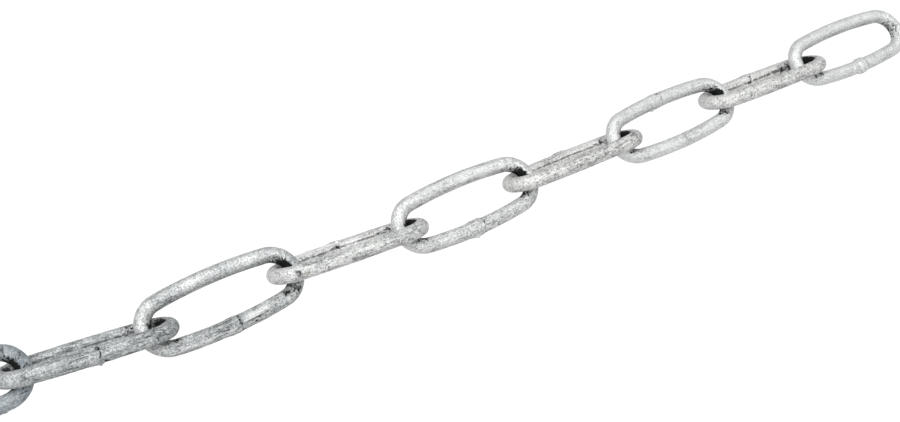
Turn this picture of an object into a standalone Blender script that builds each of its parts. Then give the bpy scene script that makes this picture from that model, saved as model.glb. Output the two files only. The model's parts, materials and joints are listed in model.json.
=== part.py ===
"""A metre of hot-dip galvanised long-link steel chain, laid out nearly straight on a level floor.

Every link is one bent and butt-welded wire. Its centre line is an oval of four arcs: a crown at each end and two
long, slightly bowed side bars. One bar carries the weld, a low swelling halfway along. The links lean to the left
and to the right in turn, each with one bar on the floor, so that the next link's crown fits inside its own.
X runs along the chain, from link_01 to the free end of link_31. Z is up, and the floor is Z = 0.
"""

import math

import bmesh
import bpy
import numpy as np
from mathutils import Matrix, Vector

# Driving dimensions, in metres
LINKS = 31
WIRE = 0.00365
INSIDE_LENGTH = 0.032
OUTSIDE_WIDTH = 0.016
CROWN_ROUNDNESS = 0.88
WELD_LENGTH = 0.0054
WELD_TOP_LENGTH = 0.0026
WELD_RISE = 0.00025
CLEARANCE = 0.0005

# How a link lies, in degrees: its turn to the left of the chain's line, taken left and right in turn, and its lean
TURN = 2
LEAN = 31.5
# The nine links at the free end don't lie so evenly: each one's turn to the left, and its lean
FREE_END = ((-7, 31.5), (-7, 31.5), (3, 34), (-3.5, 32.5), (2, 35), (0.5, 32), (2.5, 32), (-0.5, 28), (0.5, 32.5))
# In each run of five links, one has its weld on the raised bar and four have it on the bar that lies on the floor.
WELD_RUN = 5
RAISED_WELD = 3

# Fineness of the faceted solids, and of the crowns' lines where links are set apart
SECTION_SIDES = 8
CROWN_STEPS = 8
PLAIN_BAR_STEPS = 3
WELDED_BAR_STEPS = 2
LINE_POINTS = 61
SEATING_ROUNDS = 24

# Sizes that follow
HALF_LENGTH = (INSIDE_LENGTH + WIRE) / 2
HALF_WIDTH = (OUTSIDE_WIDTH - WIRE) / 2
CROWN_RADIUS = CROWN_ROUNDNESS * HALF_WIDTH
CROWN_CENTRE = HALF_LENGTH - CROWN_RADIUS
BAR_RADIUS = (CROWN_CENTRE**2 + HALF_WIDTH**2 - CROWN_RADIUS**2) / (2 * (HALF_WIDTH - CROWN_RADIUS))
BAR_CENTRE = HALF_WIDTH - BAR_RADIUS
CROWN_TURN = math.atan2(-BAR_CENTRE, CROWN_CENTRE)
BAR_TURN = math.pi / 2 - CROWN_TURN
# A regular polygon of the same area as the round wire
SECTION_RADIUS = WIRE / 2 * math.sqrt(2 * math.pi / SECTION_SIDES / math.sin(2 * math.pi / SECTION_SIDES))

ZINC = (0.50, 0.51, 0.51, 1.0)


def clear_scene():
    for obj in list(bpy.data.objects):
        bpy.data.objects.remove(obj, do_unlink=True)


def zinc_material():
    material = bpy.data.materials.new("hot_dip_zinc")
    material.use_nodes = True
    shader = material.node_tree.nodes["Principled BSDF"]
    shader.inputs["Base Color"].default_value = ZINC
    shader.inputs["Metallic"].default_value = 0.85
    shader.inputs["Roughness"].default_value = 0.5
    material.diffuse_color = ZINC
    return material


def start_ring(bm, facet_angle):
    """The wire's section at the tip of the right crown.

    The middle of one facet stands at facet_angle, turned from the link's outside towards the link's +Z face.
    """
    turn = facet_angle + math.pi / SECTION_SIDES
    place = Matrix.Translation((HALF_LENGTH, 0, 0)) @ Matrix.Rotation(math.pi / 2, 4, "X")
    place = place @ Matrix.Rotation(turn, 4, "Z")
    bmesh.ops.create_circle(bm, segments=SECTION_SIDES, radius=SECTION_RADIUS, matrix=place)
    return bm.verts[:] + bm.edges[:]


def sweep(bm, ring, centre, angle, steps):
    """Carries the ring round an arc in the link's plane and returns the ring at its far end."""
    spun = bmesh.ops.spin(bm, geom=ring, cent=centre, axis=(0, 0, 1), angle=angle, steps=steps, use_merge=False)
    return spun["geom_last"]


def swell(bm, ring, scale):
    verts = [item for item in ring if isinstance(item, bmesh.types.BMVert)]
    middle = sum((vert.co for vert in verts), Vector()) / len(verts)
    bmesh.ops.scale(bm, vec=(scale, scale, scale), space=Matrix.Translation(-middle), verts=verts)


def welded_bar(bm, ring, centre):
    """The bar that carries the weld: plain, up onto the swelling, along its top, down again, and plain."""
    edge = WELD_LENGTH / 2 / BAR_RADIUS
    top = WELD_TOP_LENGTH / 2 / BAR_RADIUS
    swollen = 1 + WELD_RISE / (WIRE / 2)
    ring = sweep(bm, ring, centre, BAR_TURN - edge, WELDED_BAR_STEPS)
    ring = sweep(bm, ring, centre, edge - top, 1)
    swell(bm, ring, swollen)
    ring = sweep(bm, ring, centre, 2 * top, 1)
    ring = sweep(bm, ring, centre, edge - top, 1)
    swell(bm, ring, 1 / swollen)
    return sweep(bm, ring, centre, BAR_TURN - edge, WELDED_BAR_STEPS)


def link_mesh(name, facet_angle):
    """One link in its own plane, with its long axis on X and its weld halfway along the bar at +Y."""
    bm = bmesh.new()
    ring = start_ring(bm, facet_angle)
    right, left = Vector((CROWN_CENTRE, 0, 0)), Vector((-CROWN_CENTRE, 0, 0))
    half_crown = CROWN_STEPS // 2
    ring = sweep(bm, ring, right, CROWN_TURN, half_crown)
    ring = welded_bar(bm, ring, Vector((0, BAR_CENTRE, 0)))
    ring = sweep(bm, ring, left, 2 * CROWN_TURN, CROWN_STEPS)
    ring = sweep(bm, ring, Vector((0, -BAR_CENTRE, 0)), 2 * BAR_TURN, PLAIN_BAR_STEPS)
    sweep(bm, ring, right, CROWN_TURN, half_crown)
    bmesh.ops.remove_doubles(bm, verts=bm.verts, dist=WIRE / 1000)
    bmesh.ops.recalc_face_normals(bm, faces=bm.faces)
    mesh = bpy.data.meshes.new(name)
    bm.to_mesh(mesh)
    bm.free()
    mesh.shade_smooth()
    return mesh


def link_lie(index):
    """(turn, roll, facet_angle): the link's turns about Z and about its own length, and the facet facing the floor."""
    leans_left = index % 2 == 0
    from_free_end = index - LINKS + len(FREE_END)
    turn, lean = FREE_END[from_free_end] if from_free_end >= 0 else (TURN if leans_left else -TURN, LEAN)
    roll = math.radians(lean if leans_left else -lean)
    # The weld is on the bar at +Y, which a roll to the left raises. Half a turn more changes the bars over.
    if leans_left != (index % WELD_RUN == RAISED_WELD):
        roll += math.pi
    low_bar = -1 if math.sin(roll) > 0 else 1
    return math.radians(turn), roll, -math.pi / 2 - low_bar * roll


def crown_line(place, end):
    """Points along the wire's centre line round one crown, at end 1 or -1, with the link placed."""
    angles = [CROWN_TURN * (2 * step / (LINE_POINTS - 1) - 1) for step in range(LINE_POINTS)]
    arc = [(CROWN_CENTRE + CROWN_RADIUS * math.cos(a), CROWN_RADIUS * math.sin(a)) for a in angles]
    return np.array([place @ Vector((end * x, y, 0)) for x, y in arc])


def seating_distance(last_place, turned, step):
    """How far along step the next link's middle lies, with the two wires CLEARANCE apart where they hook."""
    crown = crown_line(last_place, 1)
    next_crown = crown_line(turned, -1)
    near, far = INSIDE_LENGTH - 2 * WIRE, INSIDE_LENGTH + WIRE
    for _ in range(SEATING_ROUNDS):
        middle = (near + far) / 2
        moved = next_crown + np.array(step * middle)
        apart = np.linalg.norm(crown[:, None] - moved[None], axis=2).min()
        near, far = (middle, far) if apart > WIRE + CLEARANCE else (near, middle)
    return near


def add_link(index, material, last):
    turn, roll, facet_angle = link_lie(index)
    name = f"link_{index + 1:02d}"
    mesh = link_mesh(name, facet_angle)
    mesh.materials.append(material)
    link = bpy.data.objects.new(name, mesh)
    bpy.context.scene.collection.objects.link(link)
    turned = Matrix.Rotation(turn, 4, "Z") @ Matrix.Rotation(roll, 4, "X")
    height = -min((turned @ vert.co).z for vert in mesh.vertices)
    middle = Vector((0, 0, height))
    if last:
        step = (last.matrix_world.col[0].xyz + turned.col[0].xyz) / 2
        middle.xy = last.location.xy
        turned.translation = middle
        middle += step * seating_distance(last.matrix_world, turned, step)
    link.location = middle
    link.rotation_euler = (roll, 0, turn)
    bpy.context.view_layer.update()
    return link


def centre_on_origin(links):
    corners = [link.matrix_world @ vert.co for link in links for vert in link.data.vertices]
    for axis in (0, 1):
        middle = (min(c[axis] for c in corners) + max(c[axis] for c in corners)) / 2
        for link in links:
            link.location[axis] -= middle


def main():
    clear_scene()
    material = zinc_material()
    links = []
    for index in range(LINKS):
        links.append(add_link(index, material, links[-1] if links else None))
    centre_on_origin(links)


main()
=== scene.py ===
"""A metre of hot-dip galvanised long-link steel chain, lying on a pale studio floor.

Laid out as an add-on: property groups hold the sizes, the finish and the stage, one operator makes the links,
one sets the stage, and a panel lists both. Run as a script, it makes the whole scene.
Every link is one wire swept round its own centre line, then roughened as a thick zinc coat is: lumps, runs,
creases, pits and pips, a butt weld with its groove and burr, pressed flats, and torn zinc where links hook.
Shade is painted into the zinc's colour as well: dark at the crowns where links hook, on the raised bars'
inner sides and in thin lines between bars. Pressed flats are painted lighter, partly as a painted highlight.
"""

import json
import math
import random
from collections import namedtuple

import bmesh
import bpy
import numpy as np
from bpy.props import FloatProperty, FloatVectorProperty, IntProperty, PointerProperty
from mathutils import Matrix, Quaternion, Vector, noise


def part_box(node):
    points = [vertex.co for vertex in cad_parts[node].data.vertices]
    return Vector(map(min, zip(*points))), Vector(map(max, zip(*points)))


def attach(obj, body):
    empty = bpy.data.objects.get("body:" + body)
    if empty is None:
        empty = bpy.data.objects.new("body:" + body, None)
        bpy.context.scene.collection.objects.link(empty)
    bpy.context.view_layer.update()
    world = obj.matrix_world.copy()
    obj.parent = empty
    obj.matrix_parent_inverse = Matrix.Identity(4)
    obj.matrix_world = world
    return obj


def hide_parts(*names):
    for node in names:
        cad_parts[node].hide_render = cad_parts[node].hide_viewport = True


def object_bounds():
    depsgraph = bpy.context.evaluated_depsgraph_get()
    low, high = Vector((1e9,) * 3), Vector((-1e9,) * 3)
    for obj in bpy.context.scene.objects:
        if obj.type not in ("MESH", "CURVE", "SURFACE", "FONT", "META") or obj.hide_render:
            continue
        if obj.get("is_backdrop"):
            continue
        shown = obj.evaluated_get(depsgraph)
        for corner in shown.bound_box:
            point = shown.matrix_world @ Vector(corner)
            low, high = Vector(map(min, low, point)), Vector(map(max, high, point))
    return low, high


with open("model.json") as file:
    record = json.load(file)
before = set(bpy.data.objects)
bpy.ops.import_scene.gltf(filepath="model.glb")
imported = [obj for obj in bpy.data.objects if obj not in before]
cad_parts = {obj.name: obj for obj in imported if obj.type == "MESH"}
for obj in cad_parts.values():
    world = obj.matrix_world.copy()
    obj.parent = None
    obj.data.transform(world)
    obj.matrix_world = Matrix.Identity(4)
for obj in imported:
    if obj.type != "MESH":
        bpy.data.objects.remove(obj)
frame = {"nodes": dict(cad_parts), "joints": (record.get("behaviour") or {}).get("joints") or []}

bl_info = {
    "name": "Galvanised Chain",
    "version": (1, 0, 0),
    "blender": (4, 5, 0),
    "location": "View3D > Sidebar > Chain",
    "description": "Welded long-link chain with a hot-dip zinc coat, on a studio floor",
    "category": "Add Mesh",
}

SOLID_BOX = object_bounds()
LINK_NAMES = sorted(frame["nodes"])
MM = 0.001

# In each run of five links, one has its weld on the raised bar.
# The rest have it on the bar that lies on the floor.
WELD_RUN = 5
RAISED_WELD = 3
WELDED, PLAIN = 1, -1

# A place on a link's wire is given in millimetres along a bar, from its middle towards the free end, and in
# degrees round the wire, from the link's outer edge towards its +Z face. Other sizes are in millimetres.

# A weld is a swelling with a groove. The groove lies that far from the swelling's middle, on its thin side,
# and slants that far towards a place round the wire. A pit is a place and a width, and the burr is a place.
Weld = namedtuple("Weld", "middle rise length groove slant towards depth pits burr")
# A flat that was pressed into a bar
Flat = namedtuple("Flat", "bar start end towards depth")
# A spot of torn zinc, darkened with painted shade where the next link's crown shades the bar
Scuff = namedtuple("Scuff", "bar along towards size")
# A thin dark line along a bar, from its first place round the wire to its last: partly scored zinc, partly
# painted shade where one bar shades another and along a crown's edge. Its strength is from 0 to 1.
Score = namedtuple("Score", "bar start end first last strength")
# How much lighter a link's zinc is than usual, then from 0 to 1 how bluish it is, how much painted shade
# darkens the raised bar's inner side, and how coarse its coat is on the raised bar and on the low one
Patina = namedtuple("Patina", "tone blue shade raised low")
Look = namedtuple("Look", "weld patina flats scuffs scores")

# The nine links at the free end, as the photograph shows them
FREE_END_LOOKS = (
    Look(
        Weld(0.0, 0.20, 5.4, 0.5, 0.2, 0, 0.10, ((0.6, 40, 0.36),), None),
        Patina(-0.13, 0.85, 0.9, 0.82, 0.82),
        (),
        (),
        (),
    ),
    Look(
        Weld(
            1.9, 0.14, 6.0, 0.4, 0.0, 0, 0.08,
            ((2.1, -62, 0.62), (3.1, 46, 0.45), (3.5, 60, 0.5)),
            (2.1, 84),
        ),
        Patina(-0.09, 0.35, 0.1, 0.72, 0.55),
        (Flat(WELDED, -12.0, 0.5, -38, 0.05),),
        (Scuff(PLAIN, 9.6, -128, 1.8), Scuff(PLAIN, 9.8, -158, 1.7)),
        (
            Score(PLAIN, -13.0, 11.0, 192, 190, 0.8),
            Score(PLAIN, -7.0, 13.0, 206, 202, 0.5),
            Score(WELDED, -14.0, -3.0, 2, -14, 0.4),
        ),
    ),
    Look(
        Weld(
            0.6, 0.17, 5.4, 0.8, 0.0, 0, 0.12,
            ((1.5, -132, 0.36), (1.3, -76, 0.4), (1.3, -18, 0.36), (4.6, -40, 0.36)),
            None,
        ),
        Patina(-0.05, 0.27, 0.6, 0.28, 0.70),
        (Flat(WELDED, 1.9, 8.4, -90, 0.11), Flat(WELDED, -13.0, 0.0, -50, 0.06)),
        (
            Scuff(WELDED, 16.2, -72, 1.7),
            Scuff(WELDED, 13.6, -110, 1.1),
            Scuff(WELDED, -12.6, -128, 1.3),
            Scuff(WELDED, -15.4, -120, 1.2),
        ),
        (Score(WELDED, 2.2, 8.6, -60, -66, 0.8), Score(WELDED, -18.0, -13.2, -46, -158, 0.7)),
    ),
    Look(
        Weld(-1.0, 0.22, 5.0, 0.2, 0.4, 90, 0.08, ((-1.4, 150, 0.4), (-0.9, 158, 0.36)), (-0.8, 118)),
        Patina(0.03, 0.05, 0.1, 0.54, 0.46),
        (Flat(WELDED, -13.0, -2.0, 112, 0.10),),
        (Scuff(PLAIN, -13.5, 12, 0.9), Scuff(WELDED, 11.6, 145, 1.0), Scuff(WELDED, 9.2, 152, 0.6)),
        (
            Score(WELDED, -13.0, 12.0, 160, 164, 0.8),
            Score(PLAIN, -13.0, -4.0, 46, 34, 0.5),
            Score(PLAIN, 1.0, 12.0, 40, 16, 0.45),
        ),
    ),
    Look(
        Weld(-0.3, 0.28, 5.6, 1.0, 0.5, -110, 0.09, ((-0.4, -2, 0.36),), (-0.9, 2)),
        Patina(-0.01, 0.12, 0.2, 0.22, 0.42),
        (Flat(PLAIN, -13.0, 6.0, -62, 0.05), Flat(PLAIN, -4.0, 14.0, -112, 0.04)),
        (
            Scuff(WELDED, -14.4, -134, 1.3),
            Scuff(WELDED, -16.2, -100, 1.0),
            Scuff(WELDED, 15.4, -126, 1.3),
            Scuff(WELDED, 13.9, -146, 1.0),
        ),
        (
            Score(PLAIN, -13.5, 3.5, -64, -24, 0.6),
            Score(WELDED, -17.9, -14.6, -50, -150, 0.8),
            Score(WELDED, -17.8, -14.2, -24, -116, 0.45),
        ),
    ),
    Look(
        Weld(0.3, 0.28, 5.2, 0.9, 0.3, 80, 0.08, (), None),
        Patina(0.0, 0.0, 0.1, 0.58, 0.35),
        (Flat(PLAIN, -14.0, -2.0, 20, 0.03), Flat(WELDED, 2.0, 12.0, 112, 0.06)),
        (Scuff(WELDED, 11.4, 154, 1.2), Scuff(WELDED, 9.6, 166, 0.7)),
        (Score(WELDED, -12.0, 12.0, 164, 168, 0.8), Score(PLAIN, 3.0, 14.0, 4, 30, 0.5)),
    ),
    Look(
        Weld(-0.8, 0.15, 6.4, 0.3, 0.3, 100, 0.12, ((-0.9, 58, 0.36),), (-3.4, 176)),
        Patina(0.03, 0.18, 0.5, 0.16, 0.22),
        (Flat(PLAIN, -12.0, 9.0, 70, 0.05),),
        (
            Scuff(PLAIN, -15.0, 132, 1.3),
            Scuff(PLAIN, -16.6, 100, 1.0),
            Scuff(PLAIN, 15.0, 120, 1.4),
            Scuff(PLAIN, 13.3, 144, 1.1),
        ),
        (Score(PLAIN, -18.0, -15.0, 42, 140, 0.8), Score(PLAIN, -17.8, -14.6, 16, 104, 0.5)),
    ),
    Look(
        Weld(
            -0.3, 0.18, 5.0, 0.2, 0.9, 60, 0.14,
            ((0.8, 92, 0.4), (-0.2, 134, 0.3), (-0.4, 176, 0.4), (-1.2, 184, 0.45)),
            None,
        ),
        Patina(0.02, 0.0, 0.1, 0.60, 0.32),
        (),
        (Scuff(WELDED, 12.6, 158, 2.0), Scuff(WELDED, 10.4, 178, 1.6)),
        (
            Score(WELDED, -12.0, 12.0, 174, 178, 0.8),
            Score(WELDED, 1.0, 13.0, 176, 168, 0.8),
            Score(WELDED, 4.0, 13.0, 172, 157, 0.8),
            Score(WELDED, 7.0, 13.0, 164, 146, 0.7),
        ),
    ),
    Look(
        Weld(0.4, 0.36, 3.2, 1.1, 0.2, -80, 0.08, ((-0.1, -2, 0.36),), None),
        Patina(0.06, 0.22, 0.6, 0.14, 0.16),
        (Flat(PLAIN, -10.0, 10.0, -60, 0.04),),
        (Scuff(WELDED, -14.2, -118, 1.3), Scuff(WELDED, -16.0, -78, 1.0)),
        (Score(WELDED, -17.4, -13.2, -36, -126, 0.8), Score(WELDED, -17.2, -13.0, -10, -96, 0.5)),
    ),
)

# Sizes of every weld, in millimetres. The groove wanders from its line in long waves and in short ones.
BURR_HEIGHT, BURR_WIDTH = 0.42, 0.45
WELD_PIT_DEPTH = 0.16
LONG_WANDER, SHORT_WANDER = 0.28, 0.12
# How softly a flat or a dark line ends, and how much further a flat runs out, in millimetres
SOFT_END = 0.8
FLAT_RUN_OUT = 0.4
# A flat this deep, in metres, is painted as light as a flat can be: partly smoother zinc, partly a painted
# highlight
BRIGHTEST_FLAT = 0.00010
# Painted shade darkens the inner side of a raised bar by at most this much
INNER_SHADE = 0.36

# Sizes of the coat's lumps and patches, in metres. Of three sizes, the first is along the wire.
LUMP = 0.0024
SMALL_LUMP = 0.0012
GRAIN = 0.00062
RUN = (0.0065, 0.0009, 0.0009)
CREASE = (0.010, 0.0011, 0.0011)
CREASED_PATCH = 0.0035
COARSE_PATCH = 0.0055
SHADE_PATCH = 0.0016
TORN_SHRED = 0.0005
# A dark line, partly painted shade, wanders by up to these degrees, in waves of this length, and fades in and
# out in shorter stretches
LINE_WANDER, LINE_WAVE = 5, 0.004
LINE_STRETCH = 0.0011
LINE_WIDTH = 0.00024
PIP_WIDTH, PIP_HEIGHT = 0.00042, 0.00019
PIT_WIDTH, PIT_DEPTH = 0.00033, 0.00012
PITS_IN_COARSE_COAT = 14
# Torn zinc stands this far out, more or less, and its shreds make it this uneven
TORN_HEIGHT, TORN_SHRED_HEIGHT = 0.00001, 0.00006
# The zinc ran off the left crown. The coat gets smoother from the first of these places to the second.
SMOOTH_FROM, SMOOTH_TO = 0.011, 0.016
# How far wear with painted shade, and the patchy painted shade round it, reach from the middle of the right
# crown's inner edge, and of the left crown's
WEAR_AND_SHADE_REACH = (0.0040, 0.0024)
SHADE_REACH = (0.0066, 0.0030)
# How much of a hooked crown's wear and painted shade a bare one has
BARE_CROWN_WEAR_AND_SHADE = 0.45
# A point faces the floor where its way out leans down by more than this. Any other has a metre of room.
FACES_FLOOR = 0.05
AMPLE_ROOM = 1.0

# A pattern in the zinc's colour: lumps to the metre, levels of finer detail and their strength. It is 0 where
# its noise is low, and at its most where the noise is high.
Pattern = namedtuple("Pattern", "scale detail roughness low high most distortion", defaults=(1.0, 0.0))
MOTTLE = Pattern(620, 3, 0.62, 0.32, 0.68)
STIPPLE = Pattern(2100, 1, 0.6, 0.34, 0.66)
SPARKLE = Pattern(3300, 1, 0.5, 0.36, 0.64)
STREAKS = Pattern(1500, 3, 0.55, 0.34, 0.66)
WRINKLES = Pattern(1100, 2, 0.6, 0.42, 0.58, distortion=1.5)
STAINS = Pattern(170, 2, 0.5, 0.68, 0.76, most=0.3)
SHREDS = Pattern(1500, 3, 0.65, 0.42, 0.62)
PITTED_PATCHES = Pattern(380, 1, 0.5, 0.50, 0.62, most=0.8)
HAIRY_PATCHES = Pattern(300, 1, 0.5, 0.38, 0.54, most=0.75)
# Noises that are used as they are, with the same first three numbers
HAIR_LINES = (800, 1, 0.4)
SKIN = (2400, 2.5, 0.6)
FINE_SKIN = (5200, 2, 0.5)
# Tiny pits to the metre, and the height of the finest relief
TINY_PITS = 1050.0
SKIN_HEIGHT = 0.00036
# Streaks and hair lines are ten times as long as wide, and wrinkles twice. All run along the wire.
STREAK_SCALE = (0.1, 1.0, 1.0)
WRINKLE_SCALE = (0.5, 1.0, 1.0)

WHITE = (1, 1, 1, 1)
# The floor reaches this far to each side, and the camera sees nothing nearer than this, in metres
FLOOR_REACH = 6
NEAREST_SEEN = 0.01


class ChainSizes(bpy.types.PropertyGroup):
    wire: FloatProperty(
        name="Wire", description="Diameter of the coated wire", default=0.00365, unit="LENGTH"
    )
    inside_length: FloatProperty(
        name="Inside Length", description="Length of a link's opening", default=0.032, unit="LENGTH"
    )
    outside_width: FloatProperty(
        name="Outside Width", description="Width of a link over both bars", default=0.016, unit="LENGTH"
    )
    crown_roundness: FloatProperty(
        name="Crown Roundness",
        description="Radius of the crowns as a share of the link's half width",
        default=0.88,
        min=0.5,
        max=0.99,
        subtype="FACTOR",
    )
    sides: IntProperty(name="Sides", description="Facets round the wire", default=40, min=8, max=64)
    facet: FloatProperty(
        name="Facet Length", description="Length of a facet along the wire", default=0.00028, unit="LENGTH"
    )
    weld_facet: FloatProperty(
        name="Weld Facet Length", description="Length of a facet at the weld", default=0.00015, unit="LENGTH"
    )
    weld_reach: FloatProperty(
        name="Weld Reach", description="Reach of the fine facets to each side", default=0.0036, unit="LENGTH"
    )


class ZincCoat(bpy.types.PropertyGroup):
    lump_height: FloatProperty(
        name="Lump Height", description="Height of the coat's soft lumps", default=0.00004, unit="LENGTH"
    )
    grain_height: FloatProperty(
        name="Grain Height", description="Height of the coat's coarse grain", default=0.000028, unit="LENGTH"
    )
    run_height: FloatProperty(
        name="Run Height", description="Height of the runs along the wire", default=0.00005, unit="LENGTH"
    )
    crease_depth: FloatProperty(
        name="Crease Depth", description="Depth of the creases along the wire", default=0.00006, unit="LENGTH"
    )
    light: FloatVectorProperty(
        name="Light Zinc", description="Colour of clean zinc", default=(0.62, 0.625, 0.615), subtype="COLOR"
    )
    dull: FloatVectorProperty(
        name="Dull Zinc", description="Colour of dull zinc", default=(0.115, 0.12, 0.118), subtype="COLOR"
    )
    # Dark zinc is also the colour of the painted shade at the crowns and in thin lines between bars
    dark: FloatVectorProperty(
        name="Dark Zinc",
        description="Colour in pits, grooves and crowns",
        default=(0.006, 0.0065, 0.0065),
        subtype="COLOR",
    )
    aged: FloatVectorProperty(
        name="Aged Zinc", description="Colour of bluish zinc", default=(0.24, 0.29, 0.335), subtype="COLOR"
    )
    stain: FloatVectorProperty(
        name="Stain", description="Colour of faint brown stains", default=(0.26, 0.22, 0.16), subtype="COLOR"
    )


class StudioStage(bpy.types.PropertyGroup):
    floor: FloatVectorProperty(
        name="Floor", description="Colour of the floor", default=(0.05, 0.05, 0.05), subtype="COLOR"
    )
    floor_glow: FloatProperty(name="Floor Glow", description="Light that the floor gives", default=1.0)
    sky_strength: FloatProperty(name="Sky", description="Strength of the light from all round", default=0.84)
    sky_below: FloatProperty(
        name="Sky Below", description="The light from below, as a share", default=1.18, subtype="FACTOR"
    )
    sky_behind: FloatProperty(
        name="Sky Behind", description="The light from behind, as a share", default=0.4, subtype="FACTOR"
    )
    key_power: FloatProperty(name="Key Power", description="Power of the lamp", default=42.0, unit="POWER")
    key_size: FloatProperty(name="Key Size", description="Width of the lamp", default=1.9, unit="LENGTH")
    key_place: FloatVectorProperty(
        name="Key Light",
        description="Where the lamp hangs",
        default=(-0.12, -0.56, 1.41),
        subtype="TRANSLATION",
    )
    key_aim: FloatVectorProperty(
        name="Key Aim", description="Point that the lamp faces", default=(0.38, 0, 0), subtype="TRANSLATION"
    )
    lens: FloatProperty(name="Lens", description="Focal length of the camera", default=50.03, unit="CAMERA")
    camera_place: FloatVectorProperty(
        name="Camera",
        description="Where the camera stands",
        default=(0.22495, -0.20029, 0.19413),
        subtype="TRANSLATION",
    )
    camera_aim: FloatVectorProperty(
        name="Aim",
        description="Point that the camera looks at",
        default=(0.33389, -0.00416, 0.00556),
        subtype="TRANSLATION",
    )
    camera_roll: FloatProperty(
        name="Roll",
        description="Tilt of the camera about its line of sight",
        default=math.radians(-2.107),
        subtype="ANGLE",
    )


class LinkForm:
    """The centre line of a link: two round crowns and two long, slightly bowed bars, as arcs in its plane."""

    def __init__(self, sizes):
        self.wire_radius = sizes.wire / 2
        self.half_length = (sizes.inside_length + sizes.wire) / 2
        self.half_width = (sizes.outside_width - sizes.wire) / 2
        self.crown_radius = sizes.crown_roundness * self.half_width
        self.crown_centre = self.half_length - self.crown_radius
        reach = self.crown_centre**2 + self.half_width**2 - self.crown_radius**2
        self.bar_radius = reach / (2 * (self.half_width - self.crown_radius))
        self.bar_centre = self.half_width - self.bar_radius
        self.crown_turn = math.atan2(-self.bar_centre, self.crown_centre)
        self.bar_turn = math.pi / 2 - self.crown_turn
        self.quarter = self.crown_radius * self.crown_turn + self.bar_radius * self.bar_turn

    def arcs(self, sizes):
        """Centre, turn, radius and facet length of each arc, anticlockwise from the right crown's tip."""
        right, left = Vector((self.crown_centre, 0, 0)), Vector((-self.crown_centre, 0, 0))
        bar = Vector((0, self.bar_centre, 0))
        weld_turn = sizes.weld_reach / self.bar_radius
        return (
            (right, self.crown_turn, self.crown_radius, sizes.facet),
            (bar, self.bar_turn - weld_turn, self.bar_radius, sizes.facet),
            (bar, 2 * weld_turn, self.bar_radius, sizes.weld_facet),
            (bar, self.bar_turn - weld_turn, self.bar_radius, sizes.facet),
            (left, 2 * self.crown_turn, self.crown_radius, sizes.facet),
            (-bar, 2 * self.bar_turn, self.bar_radius, sizes.facet),
            (right, self.crown_turn, self.crown_radius, sizes.facet),
        )


def swept_wire(form, sizes):
    """A link's wire, round and smooth, swept round its centre line from the tip of the right crown."""
    bm = bmesh.new()
    place = Matrix.Translation((form.half_length, 0, 0)) @ Matrix.Rotation(math.pi / 2, 4, "X")
    bmesh.ops.create_circle(bm, segments=sizes.sides, radius=form.wire_radius, matrix=place)
    ring = bm.verts[:] + bm.edges[:]
    for centre, turn, radius, facet in form.arcs(sizes):
        steps = round(radius * turn / facet)
        spun = bmesh.ops.spin(
            bm, geom=ring, cent=centre, axis=(0, 0, 1), angle=turn, steps=steps, use_merge=False
        )
        ring = spun["geom_last"]
    bmesh.ops.remove_doubles(bm, verts=bm.verts, dist=sizes.weld_facet / 20)
    bmesh.ops.recalc_face_normals(bm, faces=bm.faces)
    return bm


def noise_at(places, size, shift):
    """Smooth noise from about -1 to 1 at each place, in lumps of the given size, one or three numbers."""
    return np.array([noise.noise(place) for place in (places / np.array(size) + shift).tolist()])


def fade(distance, width):
    """1 at distance 0, falling off smoothly over the width."""
    return np.exp(-((distance / width) ** 2))


def rise_between(values, low, high):
    """0 up to low, 1 from high on, with a smooth rise between them."""
    share = np.clip((values - low) / (high - low), 0, 1)
    return share * share * (3 - 2 * share)


class WireSurface:
    """Where each point of a swept wire lies: its way out from the wire's middle, and its place on it."""

    def __init__(self, form, points):
        x, y, z = points.T
        side, bar = np.sign(x), np.sign(y)
        crown_angle = np.arctan2(y, (x - side * form.crown_centre) * side)
        bar_angle = np.arctan2(x, (y - bar * form.bar_centre) * bar)
        on_crown = np.abs(crown_angle) <= form.crown_turn
        outward = np.where(
            on_crown,
            (side * np.cos(crown_angle), np.sin(crown_angle)),
            (np.sin(bar_angle), bar * np.cos(bar_angle)),
        )
        centre = np.where(
            on_crown,
            (side * form.crown_centre, np.zeros_like(x)),
            (np.zeros_like(x), bar * form.bar_centre),
        ) + outward * np.where(on_crown, form.crown_radius, form.bar_radius)
        off = ((x, y) - centre) * outward
        self.form = form
        self.points = points
        self.out = (points - np.stack((*centre, np.zeros_like(x)), axis=1)) / form.wire_radius
        # Round the wire: 0 on the link's outer edge, a half turn at its inner edge
        self.round = np.arctan2(z, off.sum(axis=0))
        # Along the wire from the middle of the nearer bar, to the right
        past_bar = form.quarter - form.crown_radius * np.abs(crown_angle)
        self.along = np.where(on_crown, side * past_bar, form.bar_radius * bar_angle)
        self.bar = np.where(y > 0, WELDED, PLAIN)
        across, up = form.wire_radius * np.cos(self.round) + y, form.wire_radius * np.sin(self.round)
        self.lie = np.stack((self.along, across, up), axis=1)
        # From the middle of the right crown's inner edge, and of the left crown's
        tip = form.half_length - form.wire_radius
        self.from_hook = np.linalg.norm(points[:, None] - np.array(((tip, 0, 0), (-tip, 0, 0))), axis=2)

    def turn_from(self, degrees):
        """The turn round the wire between each point and the given one, from 0 to a half turn."""
        return np.arccos(np.clip(np.cos(self.round - math.radians(degrees)), -1, 1))

    def nearness(self, bar, along, degrees, width):
        """How near each point is to a place on the wire: 1 there, falling off over the width."""
        miss = np.hypot(self.along - along * MM, self.form.wire_radius * self.turn_from(degrees))
        middle = self.points[np.argmin(miss + (self.bar != bar))]
        return fade(np.linalg.norm(self.points - middle, axis=1), width * MM)


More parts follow.
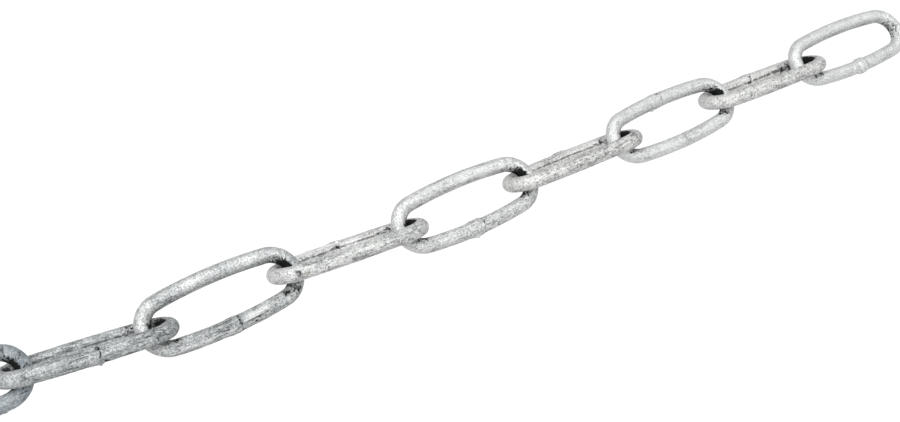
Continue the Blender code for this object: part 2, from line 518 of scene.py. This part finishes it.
def weld_relief(surface, weld, shift):
    """Height of a weld's swelling, groove, pits and burr, and where its seam and burr are, from 0 to 1."""
    along = surface.along / MM - weld.middle
    crooked = LONG_WANDER * noise_at(surface.out, 0.6, shift)
    crooked += SHORT_WANDER * noise_at(surface.out, 0.25, shift)
    slant = weld.slant * np.cos(surface.turn_from(weld.towards))
    thin_side = math.copysign(1, weld.groove)
    from_groove = (along - weld.groove - slant - crooked) * thin_side
    half = weld.length / 2
    swelling = weld.rise * (1 - rise_between(np.abs(along), half * 0.4, half))
    # The swelling is lower past the groove, and the groove gapes more in some places than in others
    swelling *= 1 - 0.7 * rise_between(from_groove, -0.1, 0.25)
    gape = 0.45 + 0.55 * rise_between(noise_at(surface.out, 0.4, -shift), -0.1, 0.5)
    groove = gape * fade(from_groove, 0.10 + 0.13 * gape)
    height = swelling - weld.depth * 1.6 * groove
    seam = groove * min(weld.depth / 0.10, 1.2)
    for place in weld.pits:
        pit = surface.nearness(WELDED, *place) * (1 + 0.5 * noise_at(surface.out, 0.22, shift))
        height -= WELD_PIT_DEPTH * pit
        seam = np.maximum(seam, 1.1 * pit)
    burr = surface.nearness(WELDED, *weld.burr, BURR_WIDTH) if weld.burr else np.zeros_like(along)
    height += BURR_HEIGHT * burr
    on_bar = surface.bar == WELDED
    return np.where(on_bar, height * MM, 0), np.where(on_bar, seam, 0), np.where(on_bar, burr, 0)


def within(along, start, end, run_out=0.0):
    """1 along a bar from start to end, and 0 past them, with soft ends."""
    begun = rise_between(along, start - run_out, start + SOFT_END)
    return begun * rise_between(-along, -end - run_out, SOFT_END - end)


def flat_depth(surface, flat):
    """Depth of a flat that was pressed into the wire."""
    radius = surface.form.wire_radius / MM
    away = np.maximum(np.cos(surface.turn_from(flat.towards)), 0.5)
    depth = np.clip(radius - (radius - flat.depth) / away, 0, None)
    depth *= within(surface.along / MM, flat.start, flat.end, FLAT_RUN_OUT)
    return np.where(surface.bar == flat.bar, depth * MM, 0)


def near_score_and_shade(surface, score_and_shade, shift):
    """How near each point is to a thin, uneven line along a bar: 1 on the line."""
    along = surface.along / MM
    share = np.clip((along - score_and_shade.start) / (score_and_shade.end - score_and_shade.start), 0, 1)
    degrees = score_and_shade.first + (score_and_shade.last - score_and_shade.first) * share
    degrees += LINE_WANDER * noise_at(surface.lie, LINE_WAVE, shift)
    turn = np.abs((np.degrees(surface.round) - degrees + 180) % 360 - 180)
    line = 1.3 * fade(np.radians(turn) * surface.form.wire_radius, LINE_WIDTH)
    line *= within(along, score_and_shade.start, score_and_shade.end)
    line *= 0.75 + 0.6 * noise_at(surface.lie, LINE_STRETCH, -shift)
    return np.where(surface.bar == score_and_shade.bar, np.clip(line, 0, 1) * score_and_shade.strength, 0)


def scattered_spots(surface, rng, count, width):
    """How near each point is to one of some spots strewn over the wire: 1 at a spot's middle."""
    nearness = np.zeros(len(surface.points))
    for _ in range(count):
        middle = surface.points[rng.randrange(len(surface.points))]
        spread = width * rng.uniform(0.7, 1.4)
        nearness = np.maximum(nearness, fade(np.linalg.norm(surface.points - middle, axis=1), spread))
    return nearness


def usual_look(rng):
    """The look of a link that the photograph doesn't show."""
    groove = rng.choice((-1, 1)) * rng.uniform(0.2, 1.1)
    middle = rng.uniform(-1.0, 1.0)
    pits = tuple(
        (middle + groove, rng.uniform(-180, 180), rng.uniform(0.3, 0.45)) for _ in range(rng.randint(0, 3))
    )
    burr = (middle + groove, rng.uniform(60, 120) * rng.choice((-1, 1))) if rng.random() < 0.4 else None
    weld = Weld(
        middle=middle,
        rise=rng.uniform(0.14, 0.28),
        length=rng.uniform(4.4, 6.2),
        groove=groove,
        slant=rng.uniform(0.0, 0.6),
        towards=rng.uniform(-180, 180),
        depth=rng.uniform(0.06, 0.11),
        pits=pits,
        burr=burr,
    )
    patina = Patina(
        tone=rng.uniform(-0.08, 0.10),
        blue=rng.uniform(0.0, 0.6),
        shade=rng.uniform(0.1, 0.7),
        raised=rng.uniform(0.1, 0.85),
        low=rng.uniform(0.3, 0.85),
    )
    flats = []
    for _ in range(rng.randint(0, 3)):
        start = rng.uniform(-13, 3)
        bar = rng.choice((WELDED, PLAIN))
        end, towards = start + rng.uniform(5, 11), rng.uniform(-150, 150)
        flats.append(Flat(bar, start, end, towards, rng.uniform(0.05, 0.11)))
    scuffs = []
    for _ in range(rng.randint(0, 2)):
        along = rng.uniform(7, 16) * rng.choice((-1, 1))
        bar, towards = rng.choice((WELDED, PLAIN)), rng.uniform(-120, 120)
        scuffs.append(Scuff(bar, along, towards, rng.uniform(0.9, 1.5)))
    scores = []
    for _ in range(rng.randint(0, 2)):
        bar, start, turn = rng.choice((WELDED, PLAIN)), rng.uniform(-13, 3), rng.uniform(-180, 180)
        end, last = start + rng.uniform(6, 12), turn + rng.uniform(-20, 20)
        scores.append(Score(bar, start, end, turn, last, rng.uniform(0.4, 0.8)))
    return Look(weld, patina, tuple(flats), tuple(scuffs), tuple(scores))


def coarseness(surface, patina, raised, shift):
    """How coarse the coat is, from 0 to 1. Points are raised by 0 on the low bar and by 1 on the other."""
    coarse = patina.low + (patina.raised - patina.low) * raised
    coarse = np.clip(coarse + 0.35 * noise_at(surface.points, COARSE_PATCH, shift), 0, 1)
    return coarse * (1 - 0.45 * rise_between(-surface.along, SMOOTH_FROM, SMOOTH_TO))


def hook_wear_and_shade(surface, scuffs, hooked, shift):
    """How near each point is to a hook, how much wear and painted shade darken it, from 0 to 1, and how high
    its torn zinc stands.
    """
    # The middle of a crown's inner side, where the next link hooks, is painted dark as shade and wear, and
    # patches of painted shade lie round it
    inner = -np.cos(surface.round)
    near_hook = (fade(surface.from_hook, WEAR_AND_SHADE_REACH) * hooked).max(axis=1)
    round_hook = (fade(surface.from_hook, SHADE_REACH) * hooked).max(axis=1)
    core = near_hook * rise_between(inner, 0.0, 0.55)
    patches = rise_between(noise_at(surface.points, SHADE_PATCH, -shift), -0.05, 0.3)
    patchy_shade = 0.55 * round_hook * patches * rise_between(inner, -0.1, 0.7)
    wear_and_shade = np.maximum(core, patchy_shade)
    torn = noise_at(surface.points, TORN_SHRED, -shift)
    # Spots of torn zinc, with painted shade where a crown shades the bar
    for scuff_and_shade in scuffs:
        wear_and_shade = np.maximum(wear_and_shade, surface.nearness(*scuff_and_shade) * (0.5 + 0.3 * torn))
    return near_hook, wear_and_shade, wear_and_shade * (TORN_HEIGHT + TORN_SHRED_HEIGHT * torn)


def zinc_relief(surface, coat, look, raised_bar, hooked, seed):
    """How far each point of a link stands out, and its states by name, which the zinc's colour follows."""
    rng = random.Random(seed)
    shift = np.array([rng.uniform(-90, 90) for _ in range(3)])
    raised = 0.5 + 0.5 * np.clip(1.3 * raised_bar * surface.points[:, 1] / surface.form.half_width, -1, 1)
    coarse = coarseness(surface, look.patina, raised, shift)
    lumps = noise_at(surface.points, LUMP, shift) + 0.6 * noise_at(surface.points, SMALL_LUMP, shift)
    grain = noise_at(surface.points, GRAIN, shift)
    runs = np.clip(1.5 * noise_at(surface.lie, RUN, shift), -1, 1)
    # The coarser the coat, the higher its lumps and its grain. Only a coarse coat has runs.
    height = coat.lump_height * (0.3 + 0.9 * coarse) * lumps
    height += coat.grain_height * (0.35 + 0.9 * coarse) * grain
    height += coat.run_height * coarse * runs
    # Creases follow the thin lines where a noise crosses zero, in patches of coarse coat
    creases_and_shade_lines = fade(noise_at(surface.lie, CREASE, -shift), 0.06)
    creases_and_shade_lines *= coarse * rise_between(noise_at(surface.points, CREASED_PATCH, -shift), -0.15, 0.15)
    # Thin dark lines join the creases: partly scored zinc, partly painted shade between bars and at crowns'
    # edges
    for score_and_shade in look.scores:
        creases_and_shade_lines = np.maximum(creases_and_shade_lines, near_score_and_shade(surface, score_and_shade, shift))
    height -= coat.crease_depth * creases_and_shade_lines
    near_hook, wear_and_shade, torn_height = hook_wear_and_shade(surface, look.scuffs, hooked, shift)
    height += torn_height

    weld_height, seam, burr = weld_relief(surface, look.weld, shift)
    pressed = np.zeros(len(height))
    for flat in look.flats:
        pressed = np.maximum(pressed, flat_depth(surface, flat))
    height += weld_height - pressed
    # Pips and pits keep clear of the hooks, where the next link is close
    clear_of_hook = 1 - rise_between(near_hook, 0.02, 0.3)
    height += clear_of_hook * PIP_HEIGHT * scattered_spots(surface, rng, rng.randint(2, 5), PIP_WIDTH)
    pits = round(PITS_IN_COARSE_COAT * float(coarse.mean()))
    height -= clear_of_hook * PIT_DEPTH * scattered_spots(surface, rng, pits, PIT_WIDTH)

    proud = np.clip(0.5 + 0.4 * lumps + 0.5 * grain + 0.3 * runs, 0, 1)
    states = {"coarse": coarse, "creases_and_shade_lines": creases_and_shade_lines, "wear_and_shade": wear_and_shade, "seam": seam, "proud": proud}
    # Pressed flats are painted lighter, partly as smoother zinc and partly as a painted highlight. The burr
    # is lighter too.
    states["pressed"] = np.clip(pressed / BRIGHTEST_FLAT + 1.5 * burr, 0, 1)
    states["blue"] = np.full(len(height), look.patina.blue)
    # Painted shade: the raised bar's inner side is darker, carried in the tone
    shaded = look.patina.shade * raised * rise_between(-np.cos(surface.round), 0.6, 1.0)
    states["tone"] = look.patina.tone - INNER_SHADE * shaded
    return height, states


def add_attribute(mesh, name, kind, values):
    attribute = mesh.attributes.new(name, kind, "POINT")
    field = "vector" if kind == "FLOAT_VECTOR" else "value"
    attribute.data.foreach_set(field, values.astype(np.float32).ravel())


def box_middle(name):
    low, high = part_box(name)
    return (low + high) / 2


def link_places(form):
    """Each link's place, from the hinge on its left crown: X along it to the free end, Y to its raised bar.

    The first link hangs on no hinge. It lies as the third does, and its box says how far away.
    """
    places = {}
    for joint in frame["joints"]:
        normal = Vector(joint["axis"]).normalized()
        along = normal.cross(Vector((0, 0, 1))).normalized()
        along *= math.copysign(1, along.x)
        raised = normal.cross(along)
        raised *= math.copysign(1, raised.z)
        middle = Vector(joint["pos_m"]) + along * form.crown_centre
        turned = Matrix((along, raised, along.cross(raised))).transposed().to_4x4()
        places[joint["child"]] = Matrix.Translation(middle) @ turned
    first, third = LINK_NAMES[0], LINK_NAMES[2]
    places[first] = Matrix.Translation(box_middle(first) - box_middle(third)) @ places[third]
    return places


class NodeBench:
    """Builds a node tree: each call adds one node, sets its plain values and joins what feeds it."""

    def __init__(self, tree):
        self.tree = tree

    def set(self, node, inputs):
        for key, value in inputs.items():
            if isinstance(value, bpy.types.NodeSocket):
                self.tree.links.new(value, node.inputs[key])
            else:
                node.inputs[key].default_value = value

    def add(self, kind, inputs=None, **settings):
        node = self.tree.nodes.new("ShaderNode" + kind)
        for key, value in settings.items():
            setattr(node, key, value)
        self.set(node, inputs or {})
        return node

    def attribute(self, name, output="Fac"):
        return self.add("Attribute", attribute_name=name).outputs[output]

    def noise(self, vector, scale, detail, roughness, distortion=0.0):
        inputs = {"Vector": vector, "Scale": scale, "Detail": detail, "Roughness": roughness}
        return self.add("TexNoise", inputs | {"Distortion": distortion}).outputs["Fac"]

    def math(self, operation, first, second, clamp=False):
        return self.add("Math", {0: first, 1: second}, operation=operation, use_clamp=clamp).outputs[0]

    def weighted(self, *parts):
        """The sum of some values, each times its weight, kept between 0 and 1."""
        total = 0.0
        for value, weight in parts:
            total = self.math("ADD", self.math("MULTIPLY", value, weight), total, clamp=True)
        return total

    def most(self, first, *others):
        """The greatest of some values."""
        for other in others:
            first = self.math("MAXIMUM", first, other)
        return first

    def spread(self, value, low, high, to_low=0.0, to_high=1.0):
        """The value's range from low to high, spread out smoothly."""
        return self.add(
            "MapRange",
            {"Value": value, "From Min": low, "From Max": high, "To Min": to_low, "To Max": to_high},
            interpolation_type="SMOOTHSTEP",
        ).outputs["Result"]

    def pattern(self, vector, kind):
        """One of the patterns of the zinc's colour, at the places that the vector gives."""
        raw = self.noise(vector, kind.scale, kind.detail, kind.roughness, kind.distortion)
        return self.spread(raw, kind.low, kind.high, 0.0, kind.most)

    def blend(self, share, first, second):
        return self.add("Mix", {0: share, 2: first, 3: second}, data_type="FLOAT").outputs[0]

    def mix(self, share, first, second):
        return self.add("Mix", {0: share, 6: first, 7: second}, data_type="RGBA").outputs[2]


def new_material(name):
    """A material, its node bench and its shader."""
    material = bpy.data.materials.new(name)
    material.use_nodes = True
    return material, NodeBench(material.node_tree), material.node_tree.nodes["Principled BSDF"]


def zinc_material(coat):
    """Zinc whose tone, dark marks, painted shade and sheen follow each point's states."""
    material, bench, shader = new_material("hot_dip_zinc")
    light, dull, dark, stain, aged = (
        (*colour, 1) for colour in (coat.light, coat.dull, coat.dark, coat.stain, coat.aged)
    )
    place = bench.add("TexCoord").outputs["Object"]
    wire_lie = bench.attribute("wire_lie", "Vector")
    lie = bench.add("Mapping", {"Vector": wire_lie, "Scale": STREAK_SCALE}).outputs["Vector"]
    short_lie = bench.add("Mapping", {"Vector": wire_lie, "Scale": WRINKLE_SCALE}).outputs["Vector"]
    coarse, wear_and_shade, seam = bench.attribute("coarse"), bench.attribute("wear_and_shade"), bench.attribute("seam")

    # How light the zinc is: mottled, streaked and wrinkled where it is coarse, more even where it is smooth
    mottle = bench.pattern(place, MOTTLE)
    stipple = bench.pattern(place, STIPPLE)
    sparkle = bench.pattern(place, SPARKLE)
    runs = bench.pattern(lie, STREAKS)
    wrinkles = bench.pattern(short_lie, WRINKLES)
    proud = bench.attribute("proud")
    patchy = bench.weighted((mottle, 0.2), (proud, 0.3), (runs, 0.2), (wrinkles, 0.3), (1.0, -0.15))
    smooth = bench.weighted((mottle, 0.12), (runs, 0.12), (1.0, 0.66))
    tone = bench.weighted(
        (bench.blend(coarse, smooth, patchy), 0.65),
        (stipple, bench.blend(coarse, 0.25, 0.13)),
        (sparkle, 0.20),
        # Pressed flats lighter: partly smoother zinc, partly a painted highlight
        (bench.attribute("pressed"), 0.3),
        (bench.attribute("tone"), 1.0),
    )
    colour = bench.mix(bench.spread(tone, 0.08, 0.92), dull, light)
    colour = bench.mix(bench.math("MULTIPLY", bench.attribute("blue"), 0.5), colour, aged)
    colour = bench.mix(bench.pattern(place, STAINS), colour, stain)

    # How dark the zinc is: in tiny pits, at the crowns with wear and painted shade, in the weld's groove, in
    # creases, in thin lines of painted shade and in hair lines
    cells = bench.add("TexVoronoi", {"Vector": place, "Scale": TINY_PITS, "Randomness": 1.0})
    pits = bench.spread(cells.outputs["Distance"], 0.10, 0.24, 1.0, 0.0)
    pits = bench.math("MULTIPLY", pits, bench.pattern(place, PITTED_PATCHES))
    pits = bench.math("MULTIPLY", pits, bench.spread(coarse, 0.0, 0.6, 0.25, 1.0))
    shreds = bench.math("MULTIPLY", bench.pattern(place, SHREDS), 0.3)
    dark_wear_and_shade = bench.spread(bench.math("ADD", wear_and_shade, shreds), 0.28, 0.72)
    # Dark creases, and thin lines of painted shade
    dark_creases_and_shade_lines = bench.math("MULTIPLY", bench.spread(bench.attribute("creases_and_shade_lines"), 0.1, 0.8), 0.85)
    off_line = bench.math("ABSOLUTE", bench.math("SUBTRACT", bench.noise(lie, *HAIR_LINES), 0.5), 0.0)
    hair = bench.math("MULTIPLY", bench.spread(off_line, 0.006, 0.034, 1.0, 0.0), coarse)
    hair = bench.math("MULTIPLY", hair, bench.pattern(place, HAIRY_PATCHES))
    speckle = bench.math("ADD", stipple, 0.5)
    grooved = bench.math("MULTIPLY", bench.spread(seam, 0.15, 0.85), speckle, clamp=True)
    darkness = bench.most(pits, dark_wear_and_shade, grooved, dark_creases_and_shade_lines, hair)
    colour = bench.mix(darkness, colour, dark)

    # The sheen and the finest relief. A smooth, clean coat is the glossiest and the most metallic.
    grain = bench.noise(place, *SKIN)
    rough = bench.weighted((1.0, 0.43), (grain, 0.12), (coarse, 0.34), (darkness, 0.3))
    relief = bench.weighted((grain, 0.5), (bench.noise(place, *FINE_SKIN), 0.22), (runs, 0.15))
    relief = bench.math("SUBTRACT", relief, bench.math("MULTIPLY", pits, 0.4))
    bump = bench.add("Bump", {"Strength": 1.0, "Distance": SKIN_HEIGHT, "Height": relief})
    metallic = bench.blend(darkness, bench.blend(coarse, 0.8, 0.25), 0.0)
    bench.set(shader, {"Base Color": colour, "Metallic": metallic, "Roughness": rough})
    bench.set(shader, {"Specular IOR Level": 0.12, "Normal": bump.outputs["Normal"]})
    material.diffuse_color = light
    return material


def room_over_floor(surface, place):
    """How far each point of a placed link can stand out before it meets the floor."""
    up = np.array(place.to_3x3().row[2])
    height = surface.points @ up + place.translation.z - SOLID_BOX[0].z
    downward = -(surface.out @ up)
    room = np.maximum(height, 0) / np.maximum(downward, FACES_FLOOR)
    return np.where(downward > FACES_FLOOR, room, AMPLE_ROOM)


def dress_link(name, place, plain, surface, coat, material):
    """Adds one link's zinc-coated wire, worked up from the plain one, where its solid lies."""
    index = LINK_NAMES.index(name)
    from_free_end = index - len(LINK_NAMES) + len(FREE_END_LOOKS)
    look = FREE_END_LOOKS[from_free_end] if from_free_end >= 0 else usual_look(random.Random(index))
    raised_bar = WELDED if index % WELD_RUN == RAISED_WELD else PLAIN
    # Whether another link is hooked in the right crown, and in the left one
    hooked = np.where((name != LINK_NAMES[-1], name != LINK_NAMES[0]), 1.0, BARE_CROWN_WEAR_AND_SHADE)
    height, states = zinc_relief(surface, coat, look, raised_bar, hooked, seed=index)
    if raised_bar == PLAIN:
        place = place @ Matrix.Rotation(math.pi, 4, "X")
    height = np.minimum(height, room_over_floor(surface, place))
    mesh = plain.copy()
    points = surface.points + surface.out * height[:, None]
    mesh.vertices.foreach_set("co", points.astype(np.float32).ravel())
    for state, values in states.items():
        add_attribute(mesh, state, "FLOAT", values)
    add_attribute(mesh, "wire_lie", "FLOAT_VECTOR", surface.lie + index * surface.form.half_length)
    mesh.transform(place)
    mesh.materials.append(material)
    mesh.shade_smooth()
    link = bpy.data.objects.new("coated_" + name, mesh)
    mesh.name = link.name
    bpy.context.scene.collection.objects.link(link)
    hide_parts(name)
    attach(link, name)


class CHAIN_OT_dress_links(bpy.types.Operator):
    """Makes the links, each a welded wire with its coat of zinc"""

    bl_idname = "chain.dress_links"
    bl_label = "Dress Links"
    bl_options = {"REGISTER", "UNDO"}

    def execute(self, context):
        sizes, coat = context.scene.chain_sizes, context.scene.zinc_coat
        form = LinkForm(sizes)
        bm = swept_wire(form, sizes)
        plain = bpy.data.meshes.new("plain_wire")
        bm.to_mesh(plain)
        bm.free()
        points = np.zeros(len(plain.vertices) * 3)
        plain.vertices.foreach_get("co", points)
        surface = WireSurface(form, points.reshape(-1, 3))
        material = zinc_material(coat)
        for name, place in sorted(link_places(form).items()):
            dress_link(name, place, plain, surface, coat, material)
        bpy.data.meshes.remove(plain)
        return {"FINISHED"}


def add_floor(height, colour, glow):
    """A wide pale floor that glows, so that the chain's shadow on it stays faint."""
    bm = bmesh.new()
    level = Matrix.Translation((0, 0, height))
    bmesh.ops.create_grid(bm, x_segments=1, y_segments=1, size=FLOOR_REACH, matrix=level)
    mesh = bpy.data.meshes.new("floor")
    bm.to_mesh(mesh)
    bm.free()
    material, bench, shader = new_material("pale_floor")
    inputs = {"Base Color": (*colour, 1), "Roughness": 0.9, "Specular IOR Level": 0.1}
    bench.set(shader, inputs | {"Emission Color": WHITE, "Emission Strength": glow})
    mesh.materials.append(material)
    floor = bpy.data.objects.new("floor", mesh)
    bpy.context.scene.collection.objects.link(floor)
    floor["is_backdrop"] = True


def add_sky(strength, below, behind):
    """White light from all round, dimmer from high up behind the chain, and as strong as set from below."""
    world = bpy.data.worlds.new("studio")
    world.use_nodes = True
    bench = NodeBench(world.node_tree)
    way = bench.add("SeparateXYZ", {"Vector": bench.add("TexCoord").outputs["Generated"]})
    light = bench.spread(way.outputs["Z"], -0.5, -0.02, strength * below, strength)
    high = bench.spread(way.outputs["Z"], 0.13, 0.32)
    back = bench.spread(way.outputs["Y"], 0.3, 0.9)
    light = bench.math("MULTIPLY", light, bench.blend(bench.math("MULTIPLY", high, back), 1.0, behind))
    bench.set(world.node_tree.nodes["Background"], {"Color": WHITE, "Strength": light})
    bpy.context.scene.world = world


def facing(place, aim):
    """The turn that points a lamp or a camera at its aim, with its top up."""
    return (Vector(aim) - Vector(place)).to_track_quat("-Z", "Y")


def add_key_light(stage):
    """One large, soft lamp."""
    data = bpy.data.lights.new("key_light", "AREA")
    data.shape = "DISK"
    data.size = stage.key_size
    data.energy = stage.key_power
    light = bpy.data.objects.new("key_light", data)
    light.location = stage.key_place
    light.rotation_euler = facing(stage.key_place, stage.key_aim).to_euler()
    bpy.context.scene.collection.objects.link(light)


def add_camera(stage):
    data = bpy.data.cameras.new("camera")
    data.lens = stage.lens
    data.clip_start = NEAREST_SEEN
    camera = bpy.data.objects.new("camera", data)
    level = facing(stage.camera_place, stage.camera_aim)
    camera.location = stage.camera_place
    camera.rotation_euler = (level @ Quaternion((0, 0, 1), stage.camera_roll)).to_euler()
    bpy.context.scene.collection.objects.link(camera)
    bpy.context.scene.camera = camera


class CHAIN_OT_set_stage(bpy.types.Operator):
    """Puts a pale floor under the chain, with soft studio light and a camera"""

    bl_idname = "chain.set_stage"
    bl_label = "Set Stage"
    bl_options = {"REGISTER", "UNDO"}

    def execute(self, context):
        stage = context.scene.studio_stage
        context.scene.view_settings.view_transform = "Standard"
        add_floor(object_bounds()[0].z, stage.floor, stage.floor_glow)
        add_sky(stage.sky_strength, stage.sky_below, stage.sky_behind)
        add_key_light(stage)
        add_camera(stage)
        return {"FINISHED"}


class CHAIN_PT_panel(bpy.types.Panel):
    bl_label = "Chain"
    bl_idname = "CHAIN_PT_panel"
    bl_space_type = "VIEW_3D"
    bl_region_type = "UI"
    bl_category = "Chain"

    def draw(self, context):
        for group in (context.scene.chain_sizes, context.scene.zinc_coat):
            for name in group.__annotations__:
                self.layout.prop(group, name)
        self.layout.operator(CHAIN_OT_dress_links.bl_idname)
        for name in StudioStage.__annotations__:
            self.layout.prop(context.scene.studio_stage, name)
        self.layout.operator(CHAIN_OT_set_stage.bl_idname)


CLASSES = (ChainSizes, ZincCoat, StudioStage, CHAIN_OT_dress_links, CHAIN_OT_set_stage, CHAIN_PT_panel)


def register():
    for cls in CLASSES:
        bpy.utils.register_class(cls)
    bpy.types.Scene.chain_sizes = PointerProperty(type=ChainSizes)
    bpy.types.Scene.zinc_coat = PointerProperty(type=ZincCoat)
    bpy.types.Scene.studio_stage = PointerProperty(type=StudioStage)


def unregister():
    del bpy.types.Scene.studio_stage
    del bpy.types.Scene.zinc_coat
    del bpy.types.Scene.chain_sizes
    for cls in reversed(CLASSES):
        bpy.utils.unregister_class(cls)


def main():
    register()
    bpy.ops.chain.dress_links()
    bpy.ops.chain.set_stage()


if __name__ == "__main__":
    main()
